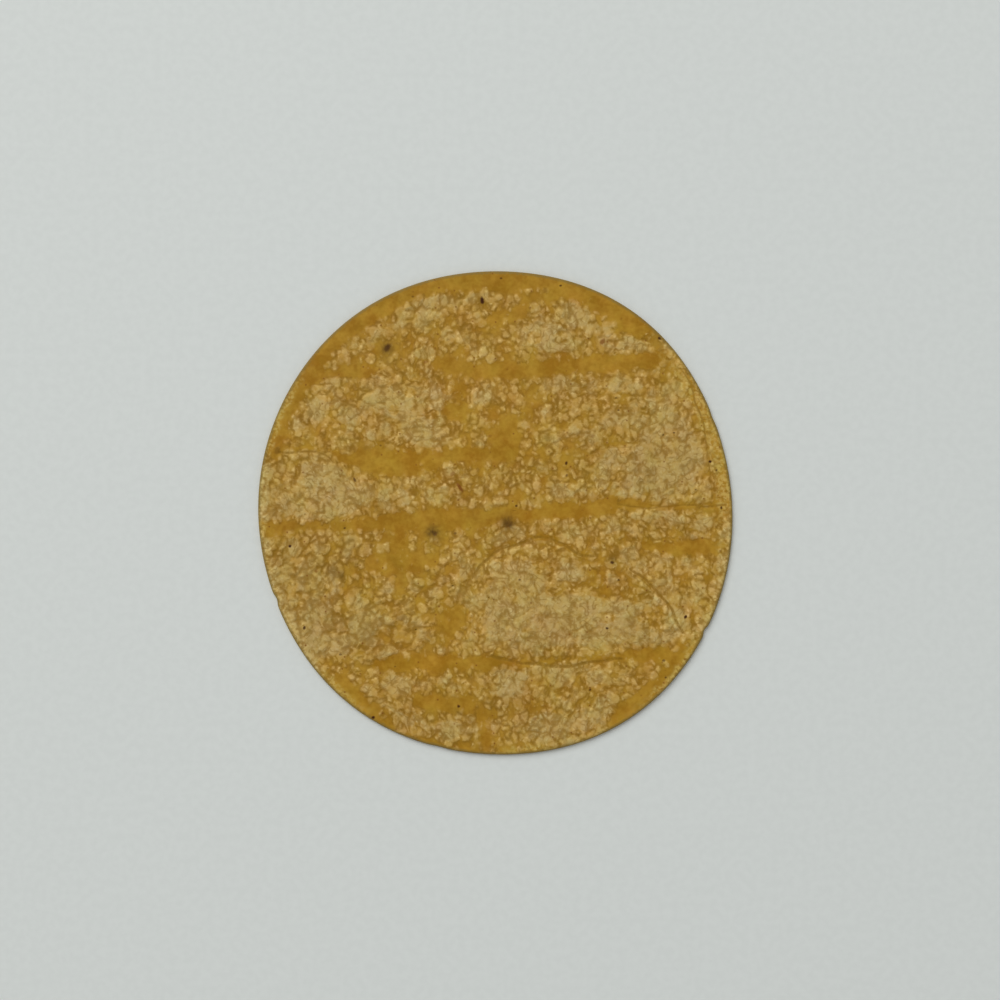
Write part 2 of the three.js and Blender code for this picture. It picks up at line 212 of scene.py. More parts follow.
# Charred (above 0) and russet (below 0) bran specks: x, y, half length, half width, tilt in degrees,
# darkness
SPECKS = (
    (-4.4, 66.1, 1.1, 0.6, 100, 1), (-33.9, 51.4, 1.3, 0.75, 65, 0.72), (20, 70.7, 0.45, 0.32, 20, 0.8),
    (50.7, 54.3, 0.55, 0.36, -45, 0.9), (1.5, 73, 0.4, 0.3, 0, 0.7), (33, 53.3, 0.95, 0.7, 60, -0.7),
    (-68.1, 19.5, 1.2, 0.9, 60, 0.38), (-64.2, -10.3, 0.5, 0.42, 30, 1),
    (-59.7, -35.7, 0.6, 0.42, 70, 0.9), (-38.3, -63.6, 0.55, 0.44, 10, 1), (66.5, 16, 0.5, 0.42, 0, 1),
    (68.5, 13.3, 0.4, 0.32, 40, 0.7), (21.8, 15.5, 0.6, 0.4, 80, 0.9), (21.9, 11.7, 0.45, 0.35, 60, 0.6),
    (-11.3, 7.9, 1.6, 0.5, -55, -0.95), (-13.6, 12.2, 0.9, 0.6, 50, -0.5), (6.2, 2.2, 0.42, 0.34, 0, 0.8),
    (-47.2, -4.7, 0.38, 0.3, 20, 0.7), (36, -15.4, 0.62, 0.46, -30, 0.9), (38, -20.8, 0.4, 0.32, 0, 0.7),
    (34.4, -35.8, 0.46, 0.38, 0, 0.9), (58.9, -32.3, 0.6, 0.42, 60, 1), (52.1, -45.9, 0.5, 0.42, 0, 0.7),
    (52.7, -51.2, 0.36, 0.3, 0, 0.7), (29.2, -55, 0.38, 0.3, 50, 0.8), (-11.7, -60.2, 0.5, 0.38, 20, 0.9),
    (-48.5, -44, 0.45, 0.36, 0, 0.55), (-44.1, 10.4, 0.8, 0.36, -60, 0.7), (55.3, 25, 0.36, 0.28, 0, 0.7),
    (70, 1.6, 0.46, 0.34, 80, 0.9), (7.3, -20.7, 0.36, 0.28, 0, 0.6), (62, 7.3, 0.34, 0.26, 0, 0.6),
    (38, 32, 0.38, 0.3, 0, 0.7), (-36, 21, 0.38, 0.3, 0, 0.5), (-26, 67.3, 0.38, 0.3, 0, 0.5),
    (-12.8, -6.3, 0.5, 0.4, 30, 0.5), (-19.4, -6.2, 1.1, 0.7, -40, 0.4), (3.8, -3.4, 1.2, 0.9, 0, 0.36),
    (-31.5, -47.8, 0.34, 0.26, 0, 0.5), (-22, 47, 0.8, 0.45, 10, -0.5), (-56, -18, 0.6, 0.45, 0, -0.5),
    (30, 24, 0.6, 0.4, 40, -0.4), (-2, 24, 0.7, 0.45, 0, -0.4), (12, -64, 0.6, 0.45, 0, -0.5),
)
# Dark scorched smudges: x, y, radius, strength
SMUDGES = (
    (-19.8, -6.1, 2.2, 0.8), (3.6, -3.1, 2.2, 0.8), (-33.9, 51.1, 2.1, 0.74), (-51.6, -18.2, 1.9, 0.36),
    (-48.6, -19.4, 1.7, 0.34), (36.2, -14.6, 1.4, 0.45), (-12, -62, 1.6, 0.25), (-35, 48.5, 1.6, 0.3),
)

# Noises, each as a list of height, wavelength and seed
CLUMPS = ((0.18, 9.0, 13), (0.34, 3.8, 14))  # in the cover
STREAKS = ((0.28, 8.0, 15),)  # in the cover, upright
STREAK_SQUEEZE = (2.6, 0.9)  # how much closer the streaks lie along x and along y
BORDER_WANDER = ((0.66, 3.2, 11), (0.42, 1.5, 12))  # of the bands, spots and edge stretches
GOLD_WANDER = ((0.7, 2.4, 31), (0.5, 1.1, 32))  # of the golden edge's inner border
FUSING_WAVES = ((1.0, 8.0, 51),)  # of the share of blisters that have grown together
BLISTER_BENDS = (((0.60, 2.2, 1), (0.34, 1.1, 2)), ((0.60, 2.2, 3), (0.34, 1.1, 4)))  # along x and along y
CREASE_BENDS = (((0.7, 5.0, 41),), ((0.7, 5.0, 42),))  # along x and along y
# Random heights along each side of a noise's lattice, and how far the lattice is turned
RIPPLE_TABLE = 97
RIPPLE_TURN = np.radians(31.0)
# Low and high limits that borders fade between
BAND_BORDER = (-0.8, 1.0)  # distance outside a band
SPOT_BORDER = (0.80, 1.08)  # reach in a crowded or bald spot's ellipse
COBBLE_BORDER = (0.75, 1.10)  # reach in the cobbles' ellipse
STRETCH_ENDS = (0.0, 7.0)  # degrees past either end of an edge stretch
STRETCH_BORDER = (-0.8, 0.8)  # distance past its inner border
GOLD_ENDS = (-12.0, 6.0)  # degrees past either end of a golden stretch
GOLD_BORDER = (-0.9, 0.5)  # distance past its inner border
# What the seeds of each side are counted from
FACE_SEED = 0
UNDERSIDE_SEED = 100


class Lumps(NamedTuple):
    """One family of blisters."""

    spacing: float  # how far apart they lie
    smallest: float  # radius of the smallest and of the largest, as shares of the spacing
    largest: float
    stretch: float  # how much longer than wide they are
    needs: float  # cover that they need
    chance: float  # how much chance weighs against that
    height: float  # share of the relief
    shoulder: float  # width of their rounded shoulders
    seed: int
    crowding: float = 0.0  # how much they grow where they crowd
    cobbling: float = 0.0  # how much the cover rises for them among the cobbles
    strays: float = 0.0  # share that also grows on bare dough
    closed: float = 0.0  # share of borders that have grown together
    fusing: float = 0.0  # how much that share rises and falls from place to place
    joining: float = 0.0  # how much that share rises where they crowd


class LumpField(NamedTuple):
    """Values of one family of blisters at many points."""

    inside: np.ndarray  # distance inside the blister's border, below 0 outside every blister
    seam: np.ndarray  # distance to its nearest open seam
    tone: np.ndarray  # its own draw from 0 to 1


PLATES = Lumps(
    spacing=3.2, smallest=0.36, largest=0.76, stretch=1.1, needs=0.62, chance=0.6, height=0.22, shoulder=1.3,
    seed=5, crowding=0.1, cobbling=0.14, closed=0.2, fusing=0.1)
PEBBLES = Lumps(
    spacing=1.9, smallest=0.3, largest=0.8, stretch=1.2, needs=0.44, chance=0.34, height=0.62, shoulder=0.8,
    seed=6, crowding=0.5, cobbling=-0.14, strays=0.004, closed=0.18, fusing=0.2, joining=0.14)
GRAINS = Lumps(
    spacing=1.1, smallest=0.2, largest=0.46, stretch=1.5, needs=0.52, chance=1.0, height=0.2, shoulder=0.4,
    seed=7, strays=0.03)
# Height of the lowest pebbles as a share of the highest
LOW_PEBBLE = 0.55
# Share of the relief that the plates gain among the cobbles, and how much wider the seams are there
COBBLE_HEIGHT = 0.26
COBBLE_SEAM = 0.24
# Cover of plain dough
PLAIN_COVER = 0.54
# Share of its full size that a blister starts with, the leads over chance that it needs to be there and to be
# full size, and the lead that a stray has
FIRST_SIZE = 0.55
GROWING_LEAD = (-0.12, 0.25)
STRAY_LEAD = 0.1
# Covers between which blisters begin to crowd, and crowded ones begin to join
CROWDING_COVER = (0.40, 0.75)
JOINING_COVER = (0.55, 0.80)
# Difference of two blisters' draws, past the share of closed borders, over which their seam opens
OPENING = (-0.08, 0.08)
# How far outside its blisters a seam still counts
SEAM_MARGIN = 0.3
# How much of a plate's own skin shows, how much more among the cobbles, and how far elsewhere it draws back
PLATE_SKIN = 0.6
COBBLE_SKIN = 0.3
PLATE_MARGIN = 0.15
# Worth of a square that has no blister
NO_BLISTER = -1e3
# How far the blisters' lattice reaches from the middle, how far a blister strays inside its square, and the
# steps to the squares round a point
LATTICE_REACH = 82.0
JITTER = 0.8
NEIGHBOURS = np.stack(np.meshgrid(np.arange(-2, 3), np.arange(-2, 3)), axis=-1).reshape(-1, 2, 1)
# How close to a seam points are drawn onto it, the step that its slope is measured over, the least square of
# that slope, and the share of the radius past which points stay where they are
SNAP_REACH = 0.2
SLOPE_STEP = 0.04
LEAST_STEEPNESS = 0.5
SNAP_SHARE = 0.98
# Sides of the ring lattice, and how far the table lies under the tortilla, in metres
SIDES = 6
TABLE_GAP = 2e-5
# Least tint of the dough, and how much it rises with its noise
TINT = (0.912, 0.926, 0.765)
TINT_RISE = (0.17, 0.14, 0.46)


class TortillaSettings(bpy.types.PropertyGroup):
    """Sizes and colours of the tortilla."""

    mean_radius: FloatProperty(
        name="Mean radius", description="Radius of the round outline before its waves",
        default=0.075, min=0.02, unit="LENGTH")
    thickness: FloatProperty(
        name="Thickness", description="Thickness of the smooth sheet of dough",
        default=0.0014, min=0.0005, unit="LENGTH")
    blister_height: FloatProperty(
        name="Blister height", description="Height of the tallest blisters over the sheet",
        default=0.00034, min=0.0, unit="LENGTH")
    pocket_rise: FloatProperty(
        name="Pocket rise", description="Height of the puffed pocket over the sheet",
        default=0.00075, min=0.0, unit="LENGTH")
    edge_rounding: FloatProperty(
        name="Edge rounding", description="How far the rounded edge stands out past the two faces",
        default=0.0005, min=0.0, unit="LENGTH")
    edge_lift: FloatProperty(
        name="Edge lift", description="How far the far edge lifts off the table",
        default=0.00045, min=0.0, unit="LENGTH")
    rings: IntProperty(
        name="Face rings", description="Rings of points on the toasted face, an even count",
        default=156, min=8)
    edge_rings: IntProperty(
        name="Edge rings", description="Strips of faces round the edge", default=6, min=2)
    amber: FloatVectorProperty(
        name="Smooth dough", description="Colour of the smooth toasted bands",
        default=(0.524, 0.292, 0.027), min=0.0, max=1.0, subtype="COLOR")
    deep_amber: FloatVectorProperty(
        name="Browned dough", description="Colour of the browner stretches of smooth dough",
        default=(0.372, 0.178, 0.007), min=0.0, max=1.0, subtype="COLOR")
    pale: FloatVectorProperty(
        name="Blistered skin", description="Colour of the pale crowns of the blisters",
        default=(0.835, 0.575, 0.194), min=0.0, max=1.0, subtype="COLOR")
    crowded: FloatVectorProperty(
        name="Crowded skin", description="Colour of the palest skin where the blisters crowd together",
        default=(0.772, 0.602, 0.248), min=0.0, max=1.0, subtype="COLOR")
    # This colour darkens the cracks, wrinkles and pits, partly as browner dough and partly as painted shade,
    # and it paints shade round single blisters' feet and in the pressed creases
    seam: FloatVectorProperty(
        name="Cracks", description="Colour of the cracks between blisters",
        default=(0.285, 0.143, 0.007), min=0.0, max=1.0, subtype="COLOR")
    gold: FloatVectorProperty(
        name="Golden edge", description="Colour of the pale flaky edge",
        default=(0.65, 0.45, 0.105), min=0.0, max=1.0, subtype="COLOR")
    # Painted shade: the thin dark line at the very edge stands for the rounded rim turning away from the
    # light and for the shadow where it meets the table
    edge: FloatVectorProperty(
        name="Edge line", description="Colour of the thin olive line at the very edge",
        default=(0.25, 0.17, 0.04), min=0.0, max=1.0, subtype="COLOR")
    scorch: FloatVectorProperty(
        name="Scorched smudges", description="Colour of the dark scorched smudges",
        default=(0.100, 0.055, 0.010), min=0.0, max=1.0, subtype="COLOR")
    russet: FloatVectorProperty(
        name="Russet specks", description="Colour of the red-brown bran specks",
        default=(0.25, 0.085, 0.008), min=0.0, max=1.0, subtype="COLOR")
    char: FloatVectorProperty(
        name="Charred specks", description="Colour of the charred bran specks",
        default=(0.060, 0.014, 0.0), min=0.0, max=1.0, subtype="COLOR")


class StageSettings(bpy.types.PropertyGroup):
    """Table, light and camera."""

    floor_colour: FloatVectorProperty(
        name="Table", description="Colour of the pale table",
        default=(0.81, 0.85, 0.82), min=0.0, max=1.0, subtype="COLOR")
    floor_size: FloatProperty(
        name="Table size", description="Length of the square table's sides", default=3.0, unit="LENGTH")
    sky: FloatProperty(
        name="Room light", description="Strength of the even light from all round", default=0.36, min=0.0)
    window_power: FloatProperty(
        name="Window light", description="Power of the broad soft light from the far left",
        default=100.0, min=0.0, subtype="POWER")
    window_size: FloatProperty(
        name="Window size", description="Length of the square light's sides", default=3.0, unit="LENGTH")
    window_place: FloatVectorProperty(
        name="Window place", description="Middle of the light",
        default=(-1.5, 2.45, 2.9), subtype="TRANSLATION", unit="LENGTH")
    view_width: FloatProperty(
        name="View width", description="Width of table that the square picture takes in",
        default=0.3112, unit="LENGTH")
    view_middle: FloatVectorProperty(
        name="View middle", description="Point on the face in the middle of the picture",
        default=(0.00115, 0.00405, 0.0014), subtype="TRANSLATION", unit="LENGTH")
    lens: FloatProperty(
        name="Lens", description="Focal length in millimetres", default=50.0, min=10.0, unit="CAMERA")


def smoothstep(low, high, value):
    """0 below low, 1 above high, and between them the curve 3t² − 2t³ of the share t of the way."""
    share = np.clip((value - low) / (high - low), 0.0, 1.0)
    return share * share * (3.0 - 2.0 * share)


def fading(limits, value):
    """1 up to the low limit, 0 from the high one on, and a smoothstep between them."""
    return 1.0 - smoothstep(*limits, value)


def ripple(x, y, wavelength, seed):
    """Smooth noise from −1 to 1: random heights on a turned square lattice, blended by smoothstep."""
    heights = np.random.default_rng(seed).uniform(-1.0, 1.0, (RIPPLE_TABLE, RIPPLE_TABLE))
    u = (x * np.cos(RIPPLE_TURN) - y * np.sin(RIPPLE_TURN)) / wavelength
    v = (x * np.sin(RIPPLE_TURN) + y * np.cos(RIPPLE_TURN)) / wavelength
    column = np.floor(u).astype(int)
    row = np.floor(v).astype(int)
    s = smoothstep(0.0, 1.0, u - column)
    t = smoothstep(0.0, 1.0, v - row)
    left, right = column % RIPPLE_TABLE, (column + 1) % RIPPLE_TABLE
    near, far = row % RIPPLE_TABLE, (row + 1) % RIPPLE_TABLE
    return (
        (heights[left, near] * (1 - s) + heights[right, near] * s) * (1 - t)
        + (heights[left, far] * (1 - s) + heights[right, far] * s) * t
    )


def ripples(x, y, noises, seed):
    """Sum of several noises: each one's height times a ripple of its wavelength and seed."""
    return sum(height * ripple(x, y, wavelength, seed + own) for height, wavelength, own in noises)


def bent(x, y, bends, seed):
    """The place moved along x by one sum of noises and along y by another."""
    along_x, along_y = bends
    return x + ripples(x, y, along_x, seed), y + ripples(x, y, along_y, seed)


def degrees_apart(angle, middle):
    """Angle in radians against a direction in degrees: how many degrees lie between, from 0 to 180."""
    return np.abs((np.degrees(angle) - middle + 180.0) % 360.0 - 180.0)


def outline_radius(angle, mean_radius):
    """Mean radius plus one cosine wave for each lobe, less a bell-shaped dip for each nick."""
    radius = np.full_like(angle, mean_radius)
    for waves, height, peak in OUTLINE_LOBES:
        radius += height * np.cos(waves * (angle - np.radians(peak)))
    for middle, half_span, depth in EDGE_NICKS:
        radius -= depth * np.exp(-((degrees_apart(angle, middle) / half_span) ** 2))
    return radius


def ellipse_offsets(x, y, middle_x, middle_y, half_length, half_width, tilt):
    """Offsets from the middle of a tilted ellipse along its axes, in shares of its half length and width."""
    turn = np.radians(tilt)
    along = (x - middle_x) * np.cos(turn) + (y - middle_y) * np.sin(turn)
    across = (y - middle_y) * np.cos(turn) - (x - middle_x) * np.sin(turn)
    return along / half_length, across / half_width


def ellipse_reach(x, y, *ellipse):
    """0 in the middle of a tilted ellipse, 1 on it: the length of the offsets."""
    return np.hypot(*ellipse_offsets(x, y, *ellipse))


def inwards_of_outline(x, y, mean_radius):
    """How far inside the outline a point lies along its own radius."""
    return outline_radius(np.arctan2(y, x), mean_radius) - np.hypot(x, y)


def chain_distance(x, y, stations):
    """Distance to a chain of straight stretches less its half width there, below 0 inside.

    On each stretch the nearest place is the point's projection, held between the two ends, and the half
    width runs evenly from one end's to the other's.
    """
    nearest = np.full_like(x, np.inf)
    for (x0, y0, w0), (x1, y1, w1) in zip(stations, stations[1:]):
        along = ((x - x0) * (x1 - x0) + (y - y0) * (y1 - y0)) / ((x1 - x0) ** 2 + (y1 - y0) ** 2)
        along = np.clip(along, 0.0, 1.0)
        away = np.hypot(x - x0 - along * (x1 - x0), y - y0 - along * (y1 - y0))
        nearest = np.minimum(nearest, away - w0 - along * (w1 - w0))
    return nearest


def smooth_curve(points, steps=5):
    """Curve through points: each stretch is the cubic that leaves a point along its neighbours' line."""
    knots = np.array([points[0], *points, points[-1]], float)
    before, start, end, after = knots[:-3], knots[1:-2], knots[2:-1], knots[3:]
    t = (np.arange(steps) / steps)[:, None, None]
    curve = 0.5 * (
        2 * start
        + (end - before) * t
        + (2 * before - 5 * start + 4 * end - after) * t**2
        + (3 * start - before - 3 * end + after) * t**3
    )
    return np.vstack([curve.transpose(1, 0, 2).reshape(-1, 2), knots[-1]])


def wandering_spot(x, y, ellipse, wander):
    """1 inside an ellipse and 0 outside it, with a border that wanders."""
    reach = ellipse_reach(x, y, *ellipse) + wander / (ellipse[2] + ellipse[3])
    return fading(SPOT_BORDER, reach)


def cover(x, y, mean_radius, seed):
    """How thickly blisters cover the dough, about 0 on smooth dough and 1 on the crowded spots.

    Half the sum of clumps, upright streaks, crowded spots and flaking edges, less half of the strongest of
    the bands, bald spots and bare edges, on top of the cover of plain dough. All their borders wander with a
    finer noise.
    """
    angle = np.arctan2(y, x)
    inwards = inwards_of_outline(x, y, mean_radius)
    wander = ripples(x, y, BORDER_WANDER, seed)
    total = ripples(x, y, CLUMPS, seed)
    total += ripples(STREAK_SQUEEZE[0] * x, STREAK_SQUEEZE[1] * y, STREAKS, seed)
    bare = np.zeros_like(x)
    for strength, *stations in BANDS:
        away = chain_distance(x, y, stations) + wander
        bare = np.maximum(bare, strength * fading(BAND_BORDER, away))
    for *ellipse, rise in CROWDED_SPOTS:
        total += rise * wandering_spot(x, y, ellipse, wander)
    for *ellipse, drop in BALD_SPOTS:
        bare = np.maximum(bare, drop * wandering_spot(x, y, ellipse, wander))
    for middle, half_span, width, change in EDGE_STRETCHES:
        along = fading(STRETCH_ENDS, degrees_apart(angle, middle) - half_span)
        edge = change * along * fading(STRETCH_BORDER, inwards + wander - width)
        total += np.maximum(edge, 0.0)
        bare = np.maximum(bare, -edge)
    return PLAIN_COVER + 0.5 * (total - bare)


def cobbling(x, y):
    """1 where the blisters are large cobbles, falling to 0 round the border of their ellipse."""
    return fading(COBBLE_BORDER, ellipse_reach(x, y, *COBBLES))


def lump_field(x, y, kind, mean_radius, seed):
    """Rounded blisters, one to each square of a jittered lattice, as a distance field.

    A blister is there, and grows, as the cover at its middle, changed among the cobbles, beats its chance. At
    a point it is worth r² − d², with r its radius and d the distance to its middle, and the blister worth
    most wins, so two meet along a straight seam where they are worth the same. A seam between two blisters
    whose draws are alike has closed.
    """
    rng = np.random.default_rng(seed + kind.seed)
    half = int(np.ceil(LATTICE_REACH / kind.spacing))
    side = 2 * half + 1
    column, row = np.meshgrid(np.arange(-half, half + 1), np.arange(-half, half + 1))
    shift_x, shift_y, chance, size, tone, kin, stray = rng.random((7, side, side))
    middle_x = (column + 0.5 + JITTER * (shift_x - 0.5)) * kind.spacing
    middle_y = (row + 0.5 + JITTER * (shift_y - 0.5)) * kind.spacing
    thick = cover(middle_x, middle_y, mean_radius, seed)
    wins = thick + kind.chance * (chance - 0.5) - kind.needs + kind.cobbling * cobbling(middle_x, middle_y)
    grown = smoothstep(*GROWING_LEAD, np.where(stray < kind.strays, STRAY_LEAD, wins))
    radius = kind.spacing * (kind.smallest + (kind.largest - kind.smallest) * size)
    growth = FIRST_SIZE + (1.0 - FIRST_SIZE) * grown + kind.crowding * smoothstep(*CROWDING_COVER, thick)
    radius = radius * growth * (grown > 0.0)

    here = np.stack([np.floor(y / kind.spacing), np.floor(x / kind.spacing)]).astype(int) + half
    near = np.clip(here[None] + NEIGHBOURS, 0, side - 1)
    index = near[:, 0] * side + near[:, 1]
    across = (middle_x.ravel()[index] - x) * kind.stretch**0.5
    upwards = (middle_y.ravel()[index] - y) / kind.stretch**0.5
    reach = radius.ravel()[index]
    away = np.hypot(across, upwards)
    worth = np.where(reach > 0.0, reach**2 - away**2, NO_BLISTER)
    winner = worth.argmax(axis=0)[None]

    def of_winner(values):
        return np.take_along_axis(values, winner, axis=0)

    apart = np.hypot(across - of_winner(across), upwards - of_winner(upwards))
    apart = np.maximum(apart, 1e-6)
    seam = (of_winner(worth) - worth) / (2.0 * apart)
    unlike = np.abs(kin.ravel()[index] - of_winner(kin.ravel()[index]))
    crowded = smoothstep(*JOINING_COVER, thick.ravel()[of_winner(index)])
    closed = kind.closed + kind.fusing * ripples(x, y, FUSING_WAVES, seed) + kind.joining * crowded
    seam = seam + kind.spacing * fading(OPENING, unlike - closed)
    seam = np.where((index == of_winner(index)) | (reach <= 0.0), np.inf, seam).min(axis=0)
    free = of_winner(reach - away)[0]
    return LumpField(np.minimum(free, seam), seam, tone.ravel()[of_winner(index)[0]])


def dome(inside, width):
    """Rounded shoulder: 0 at a border, 1 from width inside it on, along the curve 1 − (1 − t)²."""
    share = np.clip(inside / width, 0.0, 1.0)
    return share * (2.0 - share)


def crease_depth(x, y, seed):
    """Depth of the creases less the height of the folds: for each curve a bell over its distance.

    The curves wander a little with a noise.
    """
    bent_x, bent_y = bent(x, y, CREASE_BENDS, seed)
    total = np.zeros_like(x)
    for depth, half_width, *points in CREASES:
        curve = [(px, py, 0.0) for px, py in smooth_curve(points)]
        away = chain_distance(bent_x, bent_y, curve) / half_width
        total += depth * np.exp(-(away**2))
    return total


def blisters(x, y, mean_radius, seed):
    """Fields of the plates, pebbles and grains, all bent by the same noises."""
    bent_x, bent_y = bent(x, y, BLISTER_BENDS, seed)
    return [lump_field(bent_x, bent_y, kind, mean_radius, seed) for kind in (PLATES, PEBBLES, GRAINS)]


def seam_distance(plate, pebble):
    """Distance to the nearest open seam between two pebbles or two plates, at most 1.

    A seam counts in its blisters and within a margin outside them.
    """
    nearest = np.ones_like(plate.inside)
    for field in (plate, pebble):
        nearest = np.minimum(nearest, np.where(field.inside > -SEAM_MARGIN, field.seam, 1.0))
    return nearest


def drawn_to_seams(x, y, mean_radius, seed):
    """Moves each point that lies close to an open seam onto it, straight down the slope of its distance."""

    def distance(at_x, at_y):
        plate, pebble, _ = blisters(at_x, at_y, mean_radius, seed)
        return seam_distance(plate, pebble)

    here = distance(x, y)
    slope_x = (distance(x + SLOPE_STEP, y) - here) / SLOPE_STEP
    slope_y = (distance(x, y + SLOPE_STEP) - here) / SLOPE_STEP
    steepness = np.maximum(slope_x**2 + slope_y**2, LEAST_STEEPNESS)
    move = np.where(here < SNAP_REACH, here / steepness, 0.0)
    return x - move * slope_x, y - move * slope_y


def golden_mask(x, y, mean_radius, seed):
    """Pale stretches of the edge: full near the outline, with an inner border that wanders with a noise."""
    angle = np.arctan2(y, x)
    inwards = inwards_of_outline(x, y, mean_radius) + ripples(x, y, GOLD_WANDER, seed)
    strongest = np.zeros_like(x)
    for middle, half_span, width in GOLDEN_EDGES:
        along = fading(GOLD_ENDS, degrees_apart(angle, middle) - half_span)
        strongest = np.maximum(strongest, along * fading(GOLD_BORDER, inwards - width))
    return strongest


def toasting_level(x, y):
    """How much lighter or darker the dough is toasted: the sum of a bell over each broad place."""
    level = np.zeros_like(x)
    for *ellipse, change in TOASTING:
        level += change * np.exp(-(ellipse_reach(x, y, *ellipse) ** 2))
    return level


def smudge_mask(x, y):
    """Dark smudges: a bell round each middle, the strongest one counting."""
    strongest = np.zeros_like(x)
    for middle_x, middle_y, radius, strength in SMUDGES:
        away = np.hypot(x - middle_x, y - middle_y) / radius
        strongest = np.maximum(strongest, strength * np.exp(-(away**2)))
    return strongest


def nearest_speck(x, y):
    """Offsets to the nearest bran speck in shares of its two half axes, and how dark that speck is.

    The offsets are straight-line functions of the place, so the faces between points keep them exact.
    """
    *ellipse, darkness = np.array(SPECKS).T[:, :, None]
    along, across = ellipse_offsets(x, y, *ellipse)
    nearest = np.hypot(along, across).argmin(axis=0)
    points = np.arange(len(x))
    return np.stack([along[nearest, points], across[nearest, points], darkness[nearest, 0]], axis=1)


def face_masks(x, y, mean_radius, seed):
    """Relief from 0 to 1, depth of the creases, and the point values that the dough's colours are read from.

    Pebbles ride on plates and grains ride on pebbles, and among the cobbles the plates stand out more and
    have wider seams. The distances are in millimetres: how far inside a blister the point lies, how far
    inside a grain, how far from a seam and how far from the outline.
    """
    plate, pebble, grain = blisters(x, y, mean_radius, seed)
    cobbled = cobbling(x, y)
    own_height = LOW_PEBBLE + (1.0 - LOW_PEBBLE) * pebble.tone
    relief = PEBBLES.height * dome(pebble.inside, PEBBLES.shoulder) * own_height
    relief += (PLATES.height + COBBLE_HEIGHT * cobbled) * dome(plate.inside, PLATES.shoulder)
    relief += GRAINS.height * dome(grain.inside, GRAINS.shoulder)
    on_plate = (PLATE_SKIN + COBBLE_SKIN * cobbled) * plate.inside - PLATE_MARGIN * (1.0 - cobbled)
    return {
        "relief": np.clip(relief, 0.0, 1.0),
        "crease": crease_depth(x, y, seed),
        "cover": cover(x, y, mean_radius, seed),
        "body": np.clip(np.maximum(pebble.inside, on_plate), -1.0, 2.0),
        "tone": np.where(pebble.inside >= on_plate, pebble.tone, plate.tone),
        "grain": np.clip(grain.inside, -1.0, 1.0),
        "seam": seam_distance(plate, pebble) - COBBLE_SEAM * cobbled,
        "outline": np.clip(inwards_of_outline(x, y, mean_radius), 0.0, 5.0),
        "gold": golden_mask(x, y, mean_radius, seed),
        "toasting": toasting_level(x, y),
        "smudge": smudge_mask(x, y),
        "speck": nearest_speck(x, y),
    }


def ring_start(ring):
    """Number of a ring's first point: 1 + 6 + 12 + ... points lie inside it."""
    return np.where(ring > 0, 1 + SIDES * ring * (ring - 1) // 2, 0)


def ring_places(rings):
    """Ring and place on it of each point of the rings 1, 2, 3 and so on, ring k holding 6k points."""
    counts = np.arange(1, rings + 1)
    ring = np.repeat(counts, SIDES * counts)
    return ring, np.arange(len(ring)) + 1 - ring_start(ring)


def ring_lattice(rings):
    """Unit disc as a middle point and rings of evenly spread points: each one's radius and angle."""
    ring, place = ring_places(rings)
    return np.append(0.0, ring / rings), np.append(0.0, 2.0 * np.pi * place / (SIDES * ring))


def lattice_triangles(rings):
    """Triangles between each ring and the next one in: one on every outer side, one on every inner side."""
    ring, place = ring_places(rings)
    side, step = place // ring, place % ring
    inside = ring - 1

    def number(on_ring, at_place):
        return ring_start(on_ring) + at_place % np.maximum(SIDES * on_ring, 1)

    inner, next_inner = number(inside, side * inside + step), number(inside, side * inside + step + 1)
    outer, next_outer = number(ring, place), number(ring, place + 1)
    outer_sides = np.stack([inner, outer, next_outer], axis=1)
    inner_sides = np.stack([inner, next_outer, next_inner], axis=1)[step < inside]
    return np.concatenate([outer_sides, inner_sides])


def strip_triangles(upper, lower):
    """Triangles between two closed rings of the same count, seen from outside."""
    after_upper, after_lower = np.roll(upper, -1), np.roll(lower, -1)
    return np.concatenate([
        np.stack([upper, lower, after_lower], axis=1),
        np.stack([upper, after_lower, after_upper], axis=1),
    ])


def halving_triangles(upper, lower):
    """Triangles between a closed ring and one below it of half the count."""
    left, middle, right = upper[0::2], upper[1::2], np.roll(upper[0::2], -1)
    after_lower = np.roll(lower, -1)
    return np.concatenate([
        np.stack([left, lower, middle], axis=1),
        np.stack([middle, lower, after_lower], axis=1),
        np.stack([middle, after_lower, right], axis=1),
    ])


def edge_lift(angle, peak_lift):
    """Height of the underside's edge over the table: half a cosine wave, highest on the far side."""
    return peak_lift * (0.5 + 0.5 * np.cos(angle - np.radians(LIFT_DIRECTION)))


